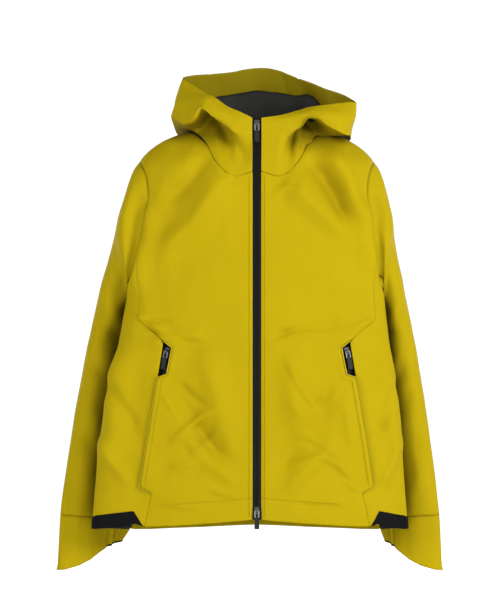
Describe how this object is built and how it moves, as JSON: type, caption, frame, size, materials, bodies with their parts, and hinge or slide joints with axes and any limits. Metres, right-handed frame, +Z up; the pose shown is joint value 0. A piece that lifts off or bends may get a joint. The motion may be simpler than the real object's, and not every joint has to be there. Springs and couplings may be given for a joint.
{
  "type": "hooded hardshell jacket",
  "caption": "Hooded waterproof shell jacket, zipped closed and hanging empty, with a two-way front zip, zipped hand pockets, stretch hem sides and long dropped cuffs.",
  "frame": {"origin": "centre of the hem opening, on the zip's centre plane, level with the front hem", "axes": "+Z up towards the hood, front of the jacket facing -Y, +X towards the wearer's left"},
  "size_m": [0.7068, 0.2522, 0.8871],
  "materials": {
    "shell_fabric": "matte woven three-layer face fabric, acid mustard",
    "facing_fabric": "matte self-fabric facing, a shade darker",
    "black_lining": "brushed black tricot",
    "stretch_band": "black stretch woven band",
    "elastic": "black knitted elastic",
    "pocket_mesh": "black mesh",
    "zip_tape": "black water-resistant coated tape",
    "zip_coil": "black moulded coil",
    "slider_metal": "gunmetal",
    "ring_metal": "satin",
    "tab_rubber": "matte moulded",
    "loop_webbing": "flat woven tape"
  },
  "bodies": {
    "jacket_body": {"front_panel_left": "shell_fabric", "front_panel_right": "shell_fabric", "side_panel_left": "shell_fabric", "side_panel_right": "shell_fabric", "flank_panel_left": "shell_fabric", "flank_panel_right": "shell_fabric", "collar_left": "shell_fabric", "collar_right": "shell_fabric", "back_panel": "shell_fabric", "back_yoke": "shell_fabric", "neck_lining": "black_lining", "wind_flap": "facing_fabric", "hem_band_left": "stretch_band", "hem_band_right": "stretch_band", "pocket_bag_left": "pocket_mesh", "pocket_bag_right": "pocket_mesh", "zip_tape_left": "zip_tape", "zip_tape_right": "zip_tape", "pocket_tape_left": "zip_tape", "pocket_tape_right": "zip_tape", "zip_coil_left": "zip_coil", "zip_coil_right": "zip_coil", "pocket_coil_left": "zip_coil", "pocket_coil_right": "zip_coil", "zip_top_stops": "zip_coil", "zip_insertion_pins": "zip_coil", "hang_loop": "loop_webbing"},
    "sleeve_left": {"sleeve_upper_left": "shell_fabric", "sleeve_under_left": "shell_fabric", "cuff_left": "shell_fabric", "cuff_elastic_left": "elastic"},
    "sleeve_right": {"sleeve_upper_right": "shell_fabric", "sleeve_under_right": "shell_fabric", "cuff_right": "shell_fabric", "cuff_elastic_right": "elastic"},
    "hood": {"hood_side_left": "shell_fabric", "hood_side_right": "shell_fabric", "hood_crown": "shell_fabric", "hood_facing": "facing_fabric"},
    "top_slider": {"zip_slider_top": "slider_metal"},
    "top_pull": {"pull_ring_top": "ring_metal", "pull_tab_top": "tab_rubber"},
    "bottom_slider": {"zip_slider_bottom": "slider_metal"},
    "bottom_pull": {"pull_ring_bottom": "ring_metal", "pull_tab_bottom": "tab_rubber"},
    "pocket_slider_left": {"pocket_slider_left": "slider_metal"},
    "pocket_pull_left": {"pocket_pull_ring_left": "ring_metal", "pocket_pull_tab_left": "tab_rubber"},
    "pocket_slider_right": {"pocket_slider_right": "slider_metal"},
    "pocket_pull_right": {"pocket_pull_ring_right": "ring_metal", "pocket_pull_tab_right": "tab_rubber"}
  },
  "joints": [
    {"name": "top_zip_travel", "type": "slide", "parent": "jacket_body", "child": "top_slider", "axis": [0, 0, 1], "range_m": [-0.63, 0]},
    {"name": "top_pull_flip", "type": "hinge", "parent": "top_slider", "child": "top_pull", "pos_m": [0, -0.0924, 0.696], "axis": [-1, 0, 0], "range_deg": [0, 150]},
    {"name": "bottom_zip_travel", "type": "slide", "parent": "jacket_body", "child": "bottom_slider", "axis": [0, 0, 1], "range_m": [0, 0.3]},
    {"name": "bottom_pull_flip", "type": "hinge", "parent": "bottom_slider", "child": "bottom_pull", "pos_m": [0, -0.0924, 0.017], "axis": [-1, 0, 0], "range_deg": [0, 150]},
    {"name": "left_pocket_travel", "type": "slide", "parent": "jacket_body", "child": "pocket_slider_left", "axis": [-0.1723, -0.0141, 0.9849], "range_m": [-0.185, 0]},
    {"name": "left_pocket_pull_flip", "type": "hinge", "parent": "pocket_slider_left", "child": "pocket_pull_left", "pos_m": [0.15993, -0.07242, 0.2964], "axis": [-0.9622, -0.2116, -0.1713], "range_deg": [0, 70]},
    {"name": "right_pocket_travel", "type": "slide", "parent": "jacket_body", "child": "pocket_slider_right", "axis": [0.1723, -0.0141, 0.9849], "range_m": [-0.185, 0]},
    {"name": "right_pocket_pull_flip", "type": "hinge", "parent": "pocket_slider_right", "child": "pocket_pull_right", "pos_m": [-0.15993, -0.07242, 0.2964], "axis": [-0.9622, 0.2116, 0.1713], "range_deg": [0, 70]},
    {"name": "left_sleeve_swing", "type": "hinge", "parent": "jacket_body", "child": "sleeve_left", "pos_m": [0.205, -0.01, 0.615], "axis": [0, -1, 0], "range_deg": [0, 25]},
    {"name": "right_sleeve_swing", "type": "hinge", "parent": "jacket_body", "child": "sleeve_right", "pos_m": [-0.205, -0.01, 0.615], "axis": [0, 1, 0], "range_deg": [0, 25]},
    {"name": "hood_lift", "type": "hinge", "parent": "jacket_body", "child": "hood", "pos_m": [0, -0.03, 0.69], "axis": [1, 0, 0], "range_deg": [0, 16]}
  ]
}
